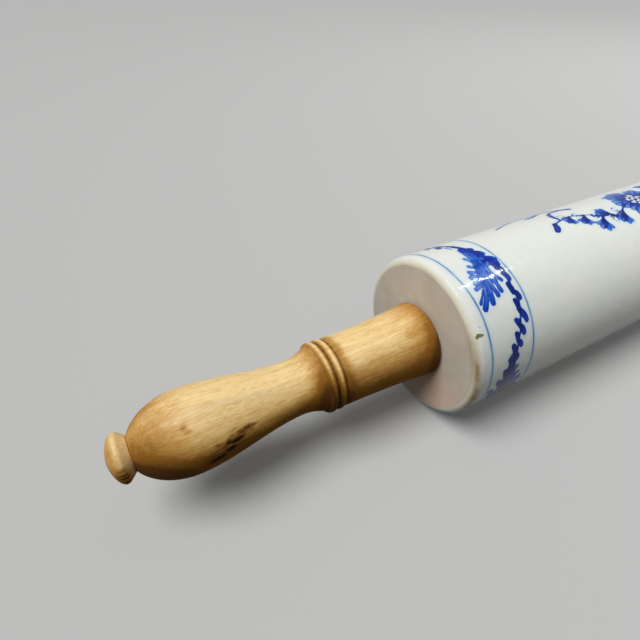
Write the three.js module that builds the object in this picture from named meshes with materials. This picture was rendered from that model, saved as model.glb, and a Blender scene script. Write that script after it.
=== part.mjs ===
// Porcelain rolling pin: a hollow porcelain barrel that rolls on a wooden rod,
// with a turned wooden handle on each end of the rod and a button that keeps it there.
// Millimetres. X runs along the pin, Z is up, and the barrel rests on the plane z = 0.

import * as THREE from "three";

// Barrel
const BARREL_DIAMETER = 60;
const BARREL_LENGTH = 220;
const BARREL_WALL = 9;
const BARREL_END_WALL = 10;
const BARREL_EDGE_RADIUS = 2.6;
const CAVITY_CORNER_RADIUS = 5;

// Rod, with a thinner journal for each handle
const ROD_DIAMETER = 16;
const JOURNAL_DIAMETER = 8.4;
const SHOULDER_STANDS_OUT = 0.15;

// Handle, from its inner end face outwards
const HANDLE_INNER_DIAMETER = 27.4;
const HANDLE_EDGE_RADIUS = 0.8;
const FLARE_LENGTH = 36;
const FLARE_SHOULDER_LENGTH = 1.3;
const FLARE_END_DIAMETER = 24;
const GROOVE_WIDTH = 0.5;
const GROOVE_DEPTH = 0.6;
const BEAD_WIDTH = 2.6;
const BEAD_HEIGHT = 0.9;
const COVE_LENGTH = 8.4;
const WAIST_DIAMETER = 18.5;
const SWELL_LENGTH = 33.9;
const SWELL_DIAMETER = 26.2;
const END_ROUND_LENGTH = 17.9;

// Button, with the peg that is glued into the rod
const BUTTON_DIAMETER = 15.5;
const BUTTON_BACK_LENGTH = 2.5;
const BUTTON_DOME_HEIGHT = 4.1;
const BUTTON_DOME_POWER = 1.28;
const PEG_DIAMETER = 4.4;
const PEG_LENGTH = 12;

// Fits
const TURNING_CLEARANCE = 0.4;
const END_CLEARANCE = 0.35;
const GLUE_GAP = 0.3;
const HANDLE_SEAT_WIDTH = 1;
const BUTTON_SEAT_WIDTH = 0.7;

// Sides of each round piece, and steps along each curve of its outline
const BARREL_SIDES = 48;
const HANDLE_SIDES = 32;
const ROD_SIDES = 24;
const SMALL_STEPS = 3;
const BEAD_STEPS = 4;
const LONG_STEPS = 6;
const BUTTON_STEPS = 10;

// Sizes that follow from the ones above
const BARREL_RADIUS = BARREL_DIAMETER / 2;
const BARREL_CORNER_RADIUS = BARREL_RADIUS / Math.cos(Math.PI / BARREL_SIDES);
const CAVITY_RADIUS = BARREL_RADIUS - BARREL_WALL;
const ROD_HOLE_RADIUS = ROD_DIAMETER / 2 + TURNING_CLEARANCE;
const BORE_RADIUS = JOURNAL_DIAMETER / 2 + TURNING_CLEARANCE;
const HANDLE_END_RADIUS = BORE_RADIUS + HANDLE_SEAT_WIDTH;
const BUTTON_BACK_RADIUS = BORE_RADIUS + BUTTON_SEAT_WIDTH;
const SHOULDER_X = BARREL_LENGTH / 2 + SHOULDER_STANDS_OUT;
const HANDLE_X = SHOULDER_X + END_CLEARANCE;

// Outline points are (radius, distance along the axis).
function point(radius, along) {
  return new THREE.Vector2(radius, along);
}

// Quarter of an ellipse from one point to another. It leaves the first point along the axis
// when axisFirst is set, and across the axis otherwise.
function quarterRound(from, to, axisFirst, steps) {
  const points = [];
  for (let i = 0; i <= steps; i += 1) {
    const turn = (Math.PI / 2) * (i / steps);
    const early = Math.sin(turn);
    const late = 1 - Math.cos(turn);
    const across = axisFirst ? late : early;
    const along = axisFirst ? early : late;
    points.push(point(from.x + (to.x - from.x) * across, from.y + (to.y - from.y) * along));
  }
  return points;
}

// Parabola from one point to another that meets its lesser radius along the axis.
function parabola(from, to, steps) {
  const least = Math.min(from.x, to.x);
  const control = point(least, (from.y + to.y) / 2);
  return new THREE.QuadraticBezierCurve(from, control, to).getPoints(steps);
}

// S-shaped curve that runs along the axis at both ends.
function swell(from, to, steps) {
  const middle = (from.y + to.y) / 2;
  const curve = new THREE.CubicBezierCurve(from, point(from.x, middle), point(to.x, middle), to);
  return curve.getPoints(steps);
}

// Half-round bead that starts and ends at one radius.
function bead(radius, start) {
  const curve = new THREE.EllipseCurve(
    radius,
    start + BEAD_WIDTH / 2,
    BEAD_HEIGHT,
    BEAD_WIDTH / 2,
    -Math.PI / 2,
    Math.PI / 2,
  );
  return curve.getPoints(BEAD_STEPS);
}

// Dome that starts at its rim and ends on the axis. A power above 1 makes it more pointed than
// half an ellipse.
function dome(radius, start, height, power, steps) {
  const points = [];
  for (let i = 0; i < steps; i += 1) {
    const turn = (Math.PI / 2) * (i / steps);
    points.push(point(radius * Math.cos(turn) ** power, start + height * Math.sin(turn)));
  }
  points.push(point(0, start + height));
  return points;
}

function withoutRepeats(points) {
  const leastStep = 1e-6;
  return points.filter((p, i) => i === 0 || p.distanceTo(points[i - 1]) > leastStep);
}

// Solid of revolution about the Y axis, from an outline that closes on itself or on the axis.
// It is turned by half a side, so that a flat faces straight up and another straight down.
function turned(outline, sides) {
  return new THREE.LatheGeometry(withoutRepeats(outline), sides, Math.PI / sides);
}

function barrelGeometry() {
  const end = BARREL_LENGTH / 2;
  const cavityEnd = end - BARREL_END_WALL;
  const rounded = BARREL_EDGE_RADIUS;
  const faceRadius = BARREL_CORNER_RADIUS - rounded;
  const cavityFaceRadius = CAVITY_RADIUS - CAVITY_CORNER_RADIUS;
  const cavitySideEnd = cavityEnd - CAVITY_CORNER_RADIUS;
  const lowEdge = quarterRound(
    point(faceRadius, -end), point(BARREL_CORNER_RADIUS, rounded - end), false, SMALL_STEPS);
  const highEdge = quarterRound(
    point(BARREL_CORNER_RADIUS, end - rounded), point(faceRadius, end), true, SMALL_STEPS);
  const highCorner = quarterRound(
    point(cavityFaceRadius, cavityEnd), point(CAVITY_RADIUS, cavitySideEnd), false, SMALL_STEPS);
  const lowCorner = quarterRound(
    point(CAVITY_RADIUS, -cavitySideEnd), point(cavityFaceRadius, -cavityEnd), true, SMALL_STEPS);
  return turned([
    point(ROD_HOLE_RADIUS, -end),
    ...lowEdge,
    ...highEdge,
    point(ROD_HOLE_RADIUS, end),
    point(ROD_HOLE_RADIUS, cavityEnd),
    ...highCorner,
    ...lowCorner,
    point(ROD_HOLE_RADIUS, -cavityEnd),
    point(ROD_HOLE_RADIUS, -end),
  ], BARREL_SIDES);
}

// Outside of the handle from its inner end face, which lies at zero, to its outer end.
function handleOutside() {
  const inner = HANDLE_INNER_DIAMETER / 2;
  const neck = FLARE_END_DIAMETER / 2;
  const foot = neck - GROOVE_DEPTH;
  const waist = WAIST_DIAMETER / 2;
  const widest = SWELL_DIAMETER / 2;
  const firstBead = FLARE_LENGTH + GROOVE_WIDTH;
  const secondBead = firstBead + BEAD_WIDTH + GROOVE_WIDTH;
  const coveStart = secondBead + BEAD_WIDTH;
  const waistAt = coveStart + COVE_LENGTH;
  const widestAt = waistAt + SWELL_LENGTH;
  const endTurn = Math.acos(HANDLE_END_RADIUS / widest);
  const endCurve = new THREE.EllipseCurve(0, widestAt, widest, END_ROUND_LENGTH, 0, endTurn);
  const edgeTop = point(inner, HANDLE_EDGE_RADIUS);
  const shoulder = point(neck, FLARE_LENGTH - FLARE_SHOULDER_LENGTH);
  return [
    ...quarterRound(point(inner - HANDLE_EDGE_RADIUS, 0), edgeTop, false, SMALL_STEPS),
    ...parabola(edgeTop, shoulder, LONG_STEPS),
    ...quarterRound(shoulder, point(foot, FLARE_LENGTH + GROOVE_WIDTH / 2), true, SMALL_STEPS),
    ...bead(foot, firstBead),
    ...bead(foot, secondBead),
    ...parabola(point(foot, coveStart), point(waist, waistAt), LONG_STEPS),
    ...swell(point(waist, waistAt), point(widest, widestAt), LONG_STEPS),
    ...endCurve.getPoints(LONG_STEPS),
  ];
}

const handleOutline = handleOutside();
const HANDLE_LENGTH = handleOutline[handleOutline.length - 1].y;
const BUTTON_X = HANDLE_X + HANDLE_LENGTH + END_CLEARANCE;

function handleGeometry() {
  return turned([
    point(BORE_RADIUS, 0),
    ...handleOutline,
    point(BORE_RADIUS, HANDLE_LENGTH),
    point(BORE_RADIUS, 0),
  ], HANDLE_SIDES);
}

function rodGeometry() {
  const rodRadius = ROD_DIAMETER / 2;
  const journalRadius = JOURNAL_DIAMETER / 2;
  const socketRadius = PEG_DIAMETER / 2 + GLUE_GAP;
  const end = BUTTON_X - GLUE_GAP;
  const socketEnd = BUTTON_X - PEG_LENGTH - GLUE_GAP;
  return turned([
    point(0, -socketEnd),
    point(socketRadius, -socketEnd),
    point(socketRadius, -end),
    point(journalRadius, -end),
    point(journalRadius, -SHOULDER_X),
    point(rodRadius, -SHOULDER_X),
    point(rodRadius, SHOULDER_X),
    point(journalRadius, SHOULDER_X),
    point(journalRadius, end),
    point(socketRadius, end),
    point(socketRadius, socketEnd),
    point(0, socketEnd),
  ], ROD_SIDES);
}

// Button from the tip of its peg, with the back of its head at zero. The back is a cone.
function buttonGeometry() {
  const pegRadius = PEG_DIAMETER / 2;
  const front = dome(
    BUTTON_DIAMETER / 2, BUTTON_BACK_LENGTH, BUTTON_DOME_HEIGHT, BUTTON_DOME_POWER, BUTTON_STEPS);
  return turned([
    point(0, -PEG_LENGTH),
    point(pegRadius, -PEG_LENGTH),
    point(pegRadius, 0),
    point(BUTTON_BACK_RADIUS, 0),
    ...front,
  ], ROD_SIDES);
}

const porcelain = new THREE.MeshStandardMaterial({ color: 0xe9e8e6, roughness: 0.15, metalness: 0 });
const beech = new THREE.MeshStandardMaterial({ color: 0xc29463, roughness: 0.6, metalness: 0 });
const paleBeech = new THREE.MeshStandardMaterial({ color: 0xcda678, roughness: 0.65, metalness: 0 });

function named(name, geometry, material) {
  const mesh = new THREE.Mesh(geometry, material);
  mesh.name = name;
  return mesh;
}

// Handle and button of one end, turned so that they run outwards along X.
function endPieces(side, direction) {
  const pieces = new THREE.Group();
  const handle = named(`${side}_handle`, handleGeometry(), beech);
  const button = named(`${side}_button`, buttonGeometry(), beech);
  handle.position.y = HANDLE_X;
  button.position.y = BUTTON_X;
  pieces.add(handle, button);
  pieces.rotation.z = (-direction * Math.PI) / 2;
  return pieces;
}

const barrel = named("barrel", barrelGeometry(), porcelain);
const rod = named("rod", rodGeometry(), paleBeech);
barrel.rotation.z = -Math.PI / 2;
rod.rotation.z = -Math.PI / 2;

const group = new THREE.Group();
group.add(barrel, rod, endPieces("left", -1), endPieces("right", 1));
group.position.z = BARREL_RADIUS;

export default group;
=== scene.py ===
"""Porcelain rolling pin on a pale floor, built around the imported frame: a glazed barrel with
brushed cobalt borders and a flower spray, and worn beech handles with their end buttons."""

import math

import bpy
import numpy as np
from mathutils import Euler, Matrix, Vector


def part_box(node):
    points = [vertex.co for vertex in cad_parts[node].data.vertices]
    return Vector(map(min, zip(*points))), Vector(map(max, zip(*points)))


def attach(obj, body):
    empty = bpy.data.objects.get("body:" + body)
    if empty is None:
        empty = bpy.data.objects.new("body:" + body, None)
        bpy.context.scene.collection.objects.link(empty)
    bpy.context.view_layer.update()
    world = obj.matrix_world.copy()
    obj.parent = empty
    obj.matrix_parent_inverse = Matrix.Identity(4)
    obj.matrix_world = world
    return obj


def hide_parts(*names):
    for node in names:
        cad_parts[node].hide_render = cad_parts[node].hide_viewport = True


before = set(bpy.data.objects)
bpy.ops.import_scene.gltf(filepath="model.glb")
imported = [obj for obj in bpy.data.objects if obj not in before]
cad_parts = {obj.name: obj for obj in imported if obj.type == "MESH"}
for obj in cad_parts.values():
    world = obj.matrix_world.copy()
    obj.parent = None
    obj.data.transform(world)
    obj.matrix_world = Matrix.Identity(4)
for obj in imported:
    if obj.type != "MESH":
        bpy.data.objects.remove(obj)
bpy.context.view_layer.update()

MM = 0.001


def span(node, axis):
    """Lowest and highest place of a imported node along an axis, in millimetres."""
    low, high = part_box(node)
    return low[axis] / MM, high[axis] / MM


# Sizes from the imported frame, in millimetres
FLOOR_Z, BARREL_TOP = span("barrel", 2)
BARREL_END = span("barrel", 0)[1]
BARREL_RADIUS = (BARREL_TOP - FLOOR_Z) / 2
AXIS_Z = (BARREL_TOP + FLOOR_Z) / 2
BARREL_TURN = 2 * math.pi * BARREL_RADIUS
HANDLE_FOOT, HANDLE_TIP = span("right_handle", 0)
HANDLE_LENGTH = HANDLE_TIP - HANDLE_FOOT
PEG_TIP, BUTTON_TIP = span("right_button", 0)

# Barrel, in millimetres
EDGE_RADIUS = 2.6
END_WALL = 10.0
CAVITY_RADIUS = 21.0
CAVITY_CORNER = 5.0
ROD_HOLE_RADIUS = 8.4

# Handle from its inner end face, in millimetres
BORE_RADIUS = 4.6
FOOT_RADIUS = 13.7
FOOT_EDGE = 0.8
FLARE_LENGTH = 36.0
FLARE_SHOULDER = 1.3
NECK_RADIUS = 12.0
GROOVE_WIDTH = 0.5
GROOVE_RADIUS = 11.4
BEAD_WIDTH = 2.6
BEAD_RADIUS = 12.3
COVE_LENGTH = 8.4
WAIST_RADIUS = 9.25
SWELL_LENGTH = 33.9
SWELL_RADIUS = 13.1
END_FLAT_RADIUS = 5.6
OUT_OF_ROUND = 0.05
WAVER = 0.03
SCORCH_HOLLOW = 0.08

# Button, in millimetres. The back of its head is worn, and lies nearer to the handle
PEG_RADIUS = 2.2
PEG_LENGTH = 12.0
BUTTON_BACK_RADIUS = 5.3
BUTTON_BACK_LENGTH = 2.5
BUTTON_RADIUS = 7.75
BUTTON_DOME_POWER = 1.28
BUTTON_RIM_ROUNDING = 0.75
BUTTON_NEARER = 0.15
RIM_BREADTH = 0.9
RIM_RIPPLE = 0.04
RIM_WEAR = 0.05

# Meshes: columns round each piece, how far close rows go past the paint and how near two points
# count as one, in millimetres, and the angle from which an edge stays sharp, in degrees
BARREL_COLUMNS = 300
HANDLE_COLUMNS = 160
BUTTON_COLUMNS = 128
PAINT_MARGIN = 1.5
SAME_POINT = 1e-6
SHARP_ANGLE = 50

# Painted border, in millimetres from the end face
LINE_PLACES = (5.2, 24.55)
LINE_DRIFTS = (-0.9, 0.45)
LINE_DRIFT_DEGREES = 35.0
LINE_TREMBLE = 0.06
LINE_NAMES = ("outer_line", "inner_line")
LINE_WIDTH = 0.75
# Motifs of the border, which take turns: the middle of each, the side that its garland takes, how
# far its fan moves back towards the start, how wide the fan spreads, and how full its brush is
MOTIF_KINDS = ((14.75, 1, 0.0, 1.0, 1.0), (16.9, -1, 4.6, 0.85, 1.7))
MOTIFS = 4
FIRST_MOTIF_DEGREES = 20.0
SPRAY_HALF_LENGTH = 68.0

# Places along the handle
FIRST_BEAD = FLARE_LENGTH + GROOVE_WIDTH
SECOND_BEAD = FIRST_BEAD + BEAD_WIDTH + GROOVE_WIDTH
COVE_START = SECOND_BEAD + BEAD_WIDTH
WAIST_AT = COVE_START + COVE_LENGTH
SWELL_AT = WAIST_AT + SWELL_LENGTH


# Outlines: rows of (distance along the axis, radius)

def steps_for(length, spacing):
    return max(2, round(abs(length) / spacing))


def straight(start, end, spacing):
    return np.linspace(start, end, steps_for(math.dist(start, end), spacing) + 1)


def quarter(start, end, axis_first, steps):
    """Quarter of an ellipse that leaves its start along the axis, or else across it."""
    turn = np.linspace(0, math.pi / 2, steps + 1)
    early, late = np.sin(turn), 1 - np.cos(turn)
    along, across = (early, late) if axis_first else (late, early)
    run = (end[0] - start[0], end[1] - start[1])
    return np.stack([start[0] + run[0] * along, start[1] + run[1] * across], axis=1)


def soft_step(part):
    return part**2 * (3 - 2 * part)


def soft_stop(part):
    return 1 - (1 - part) ** 2


def eased(start, end, spacing, ease):
    """Curve whose radius eases from its start to its end on the way along the axis."""
    part = np.linspace(0, 1, steps_for(end[0] - start[0], spacing) + 1)
    along = start[0] + (end[0] - start[0]) * part
    return np.stack([along, start[1] + (end[1] - start[1]) * ease(part)], axis=1)


def oval(centre, half_length, radius, first_turn, last_turn, steps):
    """Part of an ellipse about a centre on the axis. Turns count from its widest place."""
    turn = np.linspace(first_turn, last_turn, steps + 1)
    return np.stack([centre + half_length * np.sin(turn), radius * np.cos(turn)], axis=1)


def bead(start):
    """Half-round bead that stands on the bottom of the grooves."""
    half, height = BEAD_WIDTH / 2, BEAD_RADIUS - GROOVE_RADIUS
    return oval(start + half, half, height, -math.pi / 2, math.pi / 2, steps=14) + (0, GROOVE_RADIUS)


def joined(*runs):
    """One outline from several, without the points that repeat."""
    points = np.concatenate([np.atleast_2d(run) for run in runs])
    apart = np.linalg.norm(np.diff(points, axis=0), axis=1) > SAME_POINT
    return points[np.concatenate([[True], apart])]


def barrel_outline():
    """Closed outline: left end, rolling side, right end, then back through the cavity."""
    end, radius, edge = BARREL_END, BARREL_RADIUS, EDGE_RADIUS
    band = LINE_PLACES[1] + PAINT_MARGIN
    spray = SPRAY_HALF_LENGTH + 2 * PAINT_MARGIN
    fine, middling, coarse = 0.5, 0.95, 5.0
    places = (edge - end, band - end, -spray, spray, end - band, end - edge)
    spacings = (fine, coarse, middling, coarse, fine)
    side = [
        straight((start, radius), (stop, radius), spacing)
        for start, stop, spacing in zip(places, places[1:], spacings)
    ]
    cavity = end - END_WALL
    side_end = cavity - CAVITY_CORNER
    face_radius = CAVITY_RADIUS - CAVITY_CORNER
    return joined(
        straight((-end, ROD_HOLE_RADIUS), (-end, radius - edge), spacing=1.0),
        quarter((-end, radius - edge), (edge - end, radius), False, steps=12),
        *side,
        quarter((end - edge, radius), (end, radius - edge), True, steps=12),
        straight((end, radius - edge), (end, ROD_HOLE_RADIUS), spacing=1.0),
        (cavity, ROD_HOLE_RADIUS),
        quarter((cavity, face_radius), (side_end, CAVITY_RADIUS), False, steps=4),
        quarter((-side_end, CAVITY_RADIUS), (-cavity, face_radius), True, steps=4),
        (-cavity, ROD_HOLE_RADIUS),
    )


def handle_outline():
    """Closed outline of a handle from its inner end face at zero, with its bore last."""
    fine, middling = 0.25, 0.6
    shoulder = FLARE_LENGTH - FLARE_SHOULDER
    groove = FLARE_LENGTH + GROOVE_WIDTH / 2
    tip_turn = math.acos(END_FLAT_RADIUS / SWELL_RADIUS)
    end_length = (HANDLE_LENGTH - SWELL_AT) / math.sin(tip_turn)
    end_steps = steps_for(end_length, middling / 2)
    return joined(
        straight((0, BORE_RADIUS), (0, FOOT_RADIUS - FOOT_EDGE), spacing=1.0),
        quarter((0, FOOT_RADIUS - FOOT_EDGE), (FOOT_EDGE, FOOT_RADIUS), False, steps=8),
        eased((FOOT_EDGE, FOOT_RADIUS), (shoulder, NECK_RADIUS), middling, soft_stop),
        quarter((shoulder, NECK_RADIUS), (groove, GROOVE_RADIUS), True, steps=8),
        bead(FIRST_BEAD),
        bead(SECOND_BEAD),
        eased((COVE_START, GROOVE_RADIUS), (WAIST_AT, WAIST_RADIUS), fine, soft_stop),
        eased((WAIST_AT, WAIST_RADIUS), (SWELL_AT, SWELL_RADIUS), middling, soft_step),
        oval(SWELL_AT, end_length, SWELL_RADIUS, 0, tip_turn, end_steps),
        straight((HANDLE_LENGTH, END_FLAT_RADIUS), (HANDLE_LENGTH, BORE_RADIUS), spacing=0.5),
    )


def rounded(before, corner, after, steps):
    """Curve that replaces a corner, from a point before it to a point after it."""
    part = np.linspace(0, 1, steps + 1)[:, None]
    return (1 - part) ** 2 * before + 2 * part * (1 - part) * np.array(corner) + part**2 * after


def button_outline():
    """Outline of a button from its peg, whose tip is at zero, to near the top of its head: a
    coned back, a rim worn round, and a dome more pointed than half an ellipse."""
    back_at = PEG_LENGTH - BUTTON_NEARER
    rim_at = PEG_LENGTH + BUTTON_BACK_LENGTH
    rim = (rim_at, BUTTON_RADIUS)
    height = BUTTON_TIP - PEG_TIP - rim_at
    turn = np.linspace(0, math.pi / 2, num=60)[:-1]
    radii = BUTTON_RADIUS * np.cos(turn) ** BUTTON_DOME_POWER
    dome = np.stack([rim_at + height * np.sin(turn), radii], axis=1)
    back = straight((back_at, BUTTON_BACK_RADIUS), rim, spacing=0.2)
    back, dome = (run[np.linalg.norm(run - rim, axis=1) > BUTTON_RIM_ROUNDING] for run in (back, dome))
    return joined(
        straight((0, PEG_RADIUS), (back_at, PEG_RADIUS), spacing=1.5),
        straight((back_at, PEG_RADIUS), (back_at, BUTTON_BACK_RADIUS), spacing=0.5),
        back,
        rounded(back[-1], rim, dome[0], steps=10),
        dome,
    )


def new_object(name, data):
    """Object linked to the scene."""
    made = bpy.data.objects.new(name, data)
    bpy.context.scene.collection.objects.link(made)
    return made


class Turned:
    """Vertex grid of a turned piece: rows follow its outline, columns go round the axis from
    straight up towards +Y. Its arrays are in millimetres and radians."""

    def __init__(self, outline, columns):
        angles = 2 * math.pi * np.arange(columns) / columns
        self.along, self.angle = np.meshgrid(outline[:, 0], angles, indexing="ij")
        self.outline_radius = np.repeat(outline[:, 1:], columns, axis=1)
        self.radius = self.outline_radius.copy()
        self.steps = np.linalg.norm(np.diff(outline, axis=0), axis=1)

    def past(self, degrees):
        """Angle past a direction, both in degrees."""
        return (np.degrees(self.angle) - degrees + 180) % 360 - 180

    def vertices(self, start, direction):
        x = start + direction * self.along
        y = self.radius * np.sin(self.angle)
        z = AXIS_Z + self.radius * np.cos(self.angle)
        return np.stack([x, y, z], axis=-1).reshape(-1, 3) * MM

    def quads(self, shares):
        """Faces between the rows, and their corners on the bake map, where each row of faces
        takes its share of the height. With a share for every row, the last joins the first."""
        rows, columns = self.along.shape
        heights = np.concatenate([[0], np.cumsum(shares)]) / np.sum(shares)
        row, column = np.meshgrid(np.arange(len(shares)), np.arange(columns), indexing="ij")
        faces, places = [], []
        for down, across in ((0, 0), (1, 0), (1, 1), (0, 1)):
            faces.append((row + down) % rows * columns + (column + across) % columns)
            places.append(np.stack([(column + across) / columns, heights[row + down]], axis=-1))
        return np.stack(faces, -1).reshape(-1, 4), np.stack(places, -2).reshape(-1, 4, 2)

    def fans(self):
        """Triangles that close both ends on the axis, and their corners on the bake map."""
        rows, columns = self.along.shape
        column = np.arange(columns)
        following = (column + 1) % columns
        first_tip = np.full(columns, rows * columns)
        last = (rows - 1) * columns
        low = np.stack([first_tip, column, following], axis=1)
        high = np.stack([last + column, first_tip + 1, last + following], axis=1)
        across = np.stack([column + 0.5, column, column + 1], axis=1) / columns
        low_places = np.stack([across, np.zeros_like(across)], axis=-1)
        high_places = np.stack([across[:, [1, 0, 2]], np.ones_like(across)], axis=-1)
        return np.concatenate([low, high]), np.concatenate([low_places, high_places])

    def piece(self, name, start, direction, shares, attributes):
        """Blender object of the grid, which runs from start along X in the given direction. Its
        attributes have a number for each vertex, and the tips on the axis take the last one."""
        vertices = self.vertices(start, direction)
        faces, places = ([group] for group in self.quads(shares))
        if len(shares) < len(self.along):
            tips = [(start + direction * self.along[end, 0], 0, AXIS_Z) for end in (0, -1)]
            vertices = np.concatenate([vertices, np.array(tips) * MM])
            fan, fan_places = self.fans()
            faces.append(fan)
            places.append(fan_places)
        order = slice(None, None, direction)
        mesh = bpy.data.meshes.new(name)
        corners = [face for group in faces for face in group[:, order].tolist()]
        mesh.from_pydata(vertices.tolist(), [], corners)
        layer = mesh.uv_layers.new(name="OFBake")
        flat = np.concatenate([group[:, order].reshape(-1) for group in places])
        layer.data.foreach_set("uv", flat.astype(np.float32))
        mesh.shade_smooth()
        mesh.set_sharp_from_angle(angle=math.radians(SHARP_ANGLE))
        for title, values in attributes.items():
            values = np.pad(np.ravel(values), (0, 2), mode="edge")[: len(vertices)]
            layer = mesh.attributes.new(title, "FLOAT", "POINT")
            layer.data.foreach_set("value", np.ascontiguousarray(values, np.float32))
        return new_object(name, mesh)


# Brushwork

# Millimetres: the gap where no paint is near, and how far past a stroke its depth and its gap go.
# Shares: how much deeper a stroke is at its edge, and the deepest that a layer usually gets
FAR = 50.0
SPREAD = 0.5
REACH = 2.0
POOLING = 0.45
FULL_DEPTH = 0.97


class Canvas:
    """Paint on an unrolled surface. Each spot keeps its distance to the nearest paint and how
    much white still shows through the layers on it. Lengths are in millimetres."""

    def __init__(self, along, around, turn):
        self.along, self.around, self.turn = along.ravel(), around.ravel(), turn
        self.gap = np.full(self.along.shape, FAR)
        self.clear = np.ones(self.along.shape)

    def stroke(self, path, radii, depths, deepest=FULL_DEPTH):
        """Lays one stroke along a path of (along, around) points. Its layer makes no spot deeper
        than the deepest."""
        away = (self.around - path[0][1] + self.turn / 2) % self.turn - self.turn / 2
        around = path[0][1] + away
        reach = max(radii) + REACH
        low, high = path.min(axis=0) - reach, path.max(axis=0) + reach
        spots = np.stack([self.along, around], axis=1)
        near = np.flatnonzero(((spots > low) & (spots < high)).all(axis=1))
        spots = spots[near]
        gap = np.full(len(near), FAR)
        depth = np.zeros(len(near))
        radius = np.ones(len(near))
        for i in range(len(path) - 1):
            run = path[i + 1] - path[i]
            part = np.clip(((spots - path[i]) @ run) / max(run @ run, SAME_POINT**2), 0, 1)
            wide = radii[i] + (radii[i + 1] - radii[i]) * part
            off = np.linalg.norm(spots - path[i] - part[:, None] * run, axis=1) - wide
            closer = off < gap
            gap[closer] = off[closer]
            radius[closer] = wide[closer]
            depth[closer] = (depths[i] + (depths[i + 1] - depths[i]) * part)[closer]
        pooled = 1 + POOLING * np.clip(1 + gap / radius, 0, 1) ** 2
        cover = np.clip((SPREAD - gap) / (SPREAD / 2), 0, 1)
        layered = self.clear[near] * (1 - np.clip(depth * pooled, 0, deepest) * cover)
        self.clear[near] = np.minimum(self.clear[near], np.maximum(layered, 1 - deepest))
        self.gap[near] = np.minimum(self.gap[near], gap)


def bowed(start, end, bow, points=9):
    """Points of a stroke that bows to one side by a share of its length."""
    start, end = np.array(start, float), np.array(end, float)
    part = np.linspace(0, 1, points)[:, None]
    run = end - start
    sideways = np.array([-run[1], run[0]])
    return start + run * part + sideways * bow * 4 * part * (1 - part)


def leaf_stroke(canvas, start, end, bow, width, depth, deepest=FULL_DEPTH, ends=(1.15, 0.8), narrowest=0.35):
    """Pressed stroke: thin where the brush lands, full and round where it lifts. ends scales its
    depth at both places, and narrowest is its first width as a share of its last."""
    path = bowed(start, end, bow)
    part = np.linspace(0, 1, len(path))
    radii = width / 2 * (narrowest + (1 - narrowest) * part**0.8)
    canvas.stroke(path, radii, depth * np.linspace(*ends, len(path)), deepest)


def dab(canvas, start, end, width, depth, deepest=FULL_DEPTH, ends=(1.0, 1.0)):
    """Short full stroke, thickest in its middle. ends scales its depth at both places."""
    path = bowed(start, end, 0.08, points=6)
    part = np.linspace(0, 1, len(path))
    radii = width / 2 * (0.78 + 0.22 * np.sin(math.pi * part))
    canvas.stroke(path, radii, depth * np.linspace(*ends, len(path)), deepest)


def thin_line(canvas, path, width, depth):
    path = np.array(path, float)
    canvas.stroke(path, np.full(len(path), width / 2), np.full(len(path), depth))


# Border motif: (sideways, onward) millimetres from its start on the border's middle. The strokes of
# its fan go from root to head, with width and depth last: a pale wash, its body, the short lobes at
# its side and the long strokes at its end
FAN_DEEPEST = 0.77
FAN_WASH = (
    ((1.7, 6.4), (1.5, 14.0), 2.2, 0.14), ((2.9, 7.0), (2.8, 16.0), 2.4, 0.16),
    ((0.6, 14.6), (-3.2, 23.0), 2.6, 0.15), ((1.4, 14.8), (-0.4, 24.0), 2.6, 0.15),
    ((2.6, 15.0), (2.2, 23.5), 2.6, 0.15),
)
FAN_BODY = (
    ((1.9, 8.0), (1.6, 16.0), 1.4, 0.26), ((3.0, 8.4), (2.7, 16.6), 1.4, 0.28),
    ((3.9, 10.0), (4.0, 17.5), 1.5, 0.24), ((1.4, 15.8), (0.7, 21.8), 1.5, 0.24),
    ((-0.3, 16.6), (-2.2, 22.0), 1.6, 0.24), ((3.0, 16.4), (2.8, 21.6), 1.4, 0.24),
)
FAN_LOBES = (
    ((0.6, 15.6), (-0.8, 11.9), 1.7, 0.34), ((0.0, 17.2), (-2.6, 15.5), 1.7, 0.42),
    ((-1.4, 18.8), (-4.3, 17.9), 1.8, 0.42), ((-2.0, 20.4), (-5.3, 19.9), 1.8, 0.44),
    ((-2.4, 22.0), (-5.4, 22.2), 1.7, 0.34), ((-3.0, 23.2), (-6.3, 24.4), 1.8, 0.5),
)
FAN_STROKES = (
    ((-4.4, 24.8), (-7.9, 29.2), 1.1, 0.5), ((-2.2, 22.4), (-7.1, 31.0), 2.3, 0.56),
    ((-1.2, 21.6), (-3.3, 30.2), 2.2, 0.56), ((0.1, 21.6), (0.0, 28.6), 1.8, 0.5),
    ((1.9, 20.6), (2.3, 27.4), 1.7, 0.48), ((3.1, 21.0), (4.4, 23.9), 1.6, 0.46),
)
# Layers of the fan, with the depth at both ends of a stroke and its first width, as shares
FAN_LAYERS = (
    (FAN_WASH, (1.1, 0.7), 0.9),
    (FAN_BODY, (1.2, 0.8), 0.7),
    (FAN_LOBES, (0.6, 0.95), 0.5),
    (FAN_STROKES, (0.4, 1.5), 0.6),
)
FAN_JITTER = 0.1
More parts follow.
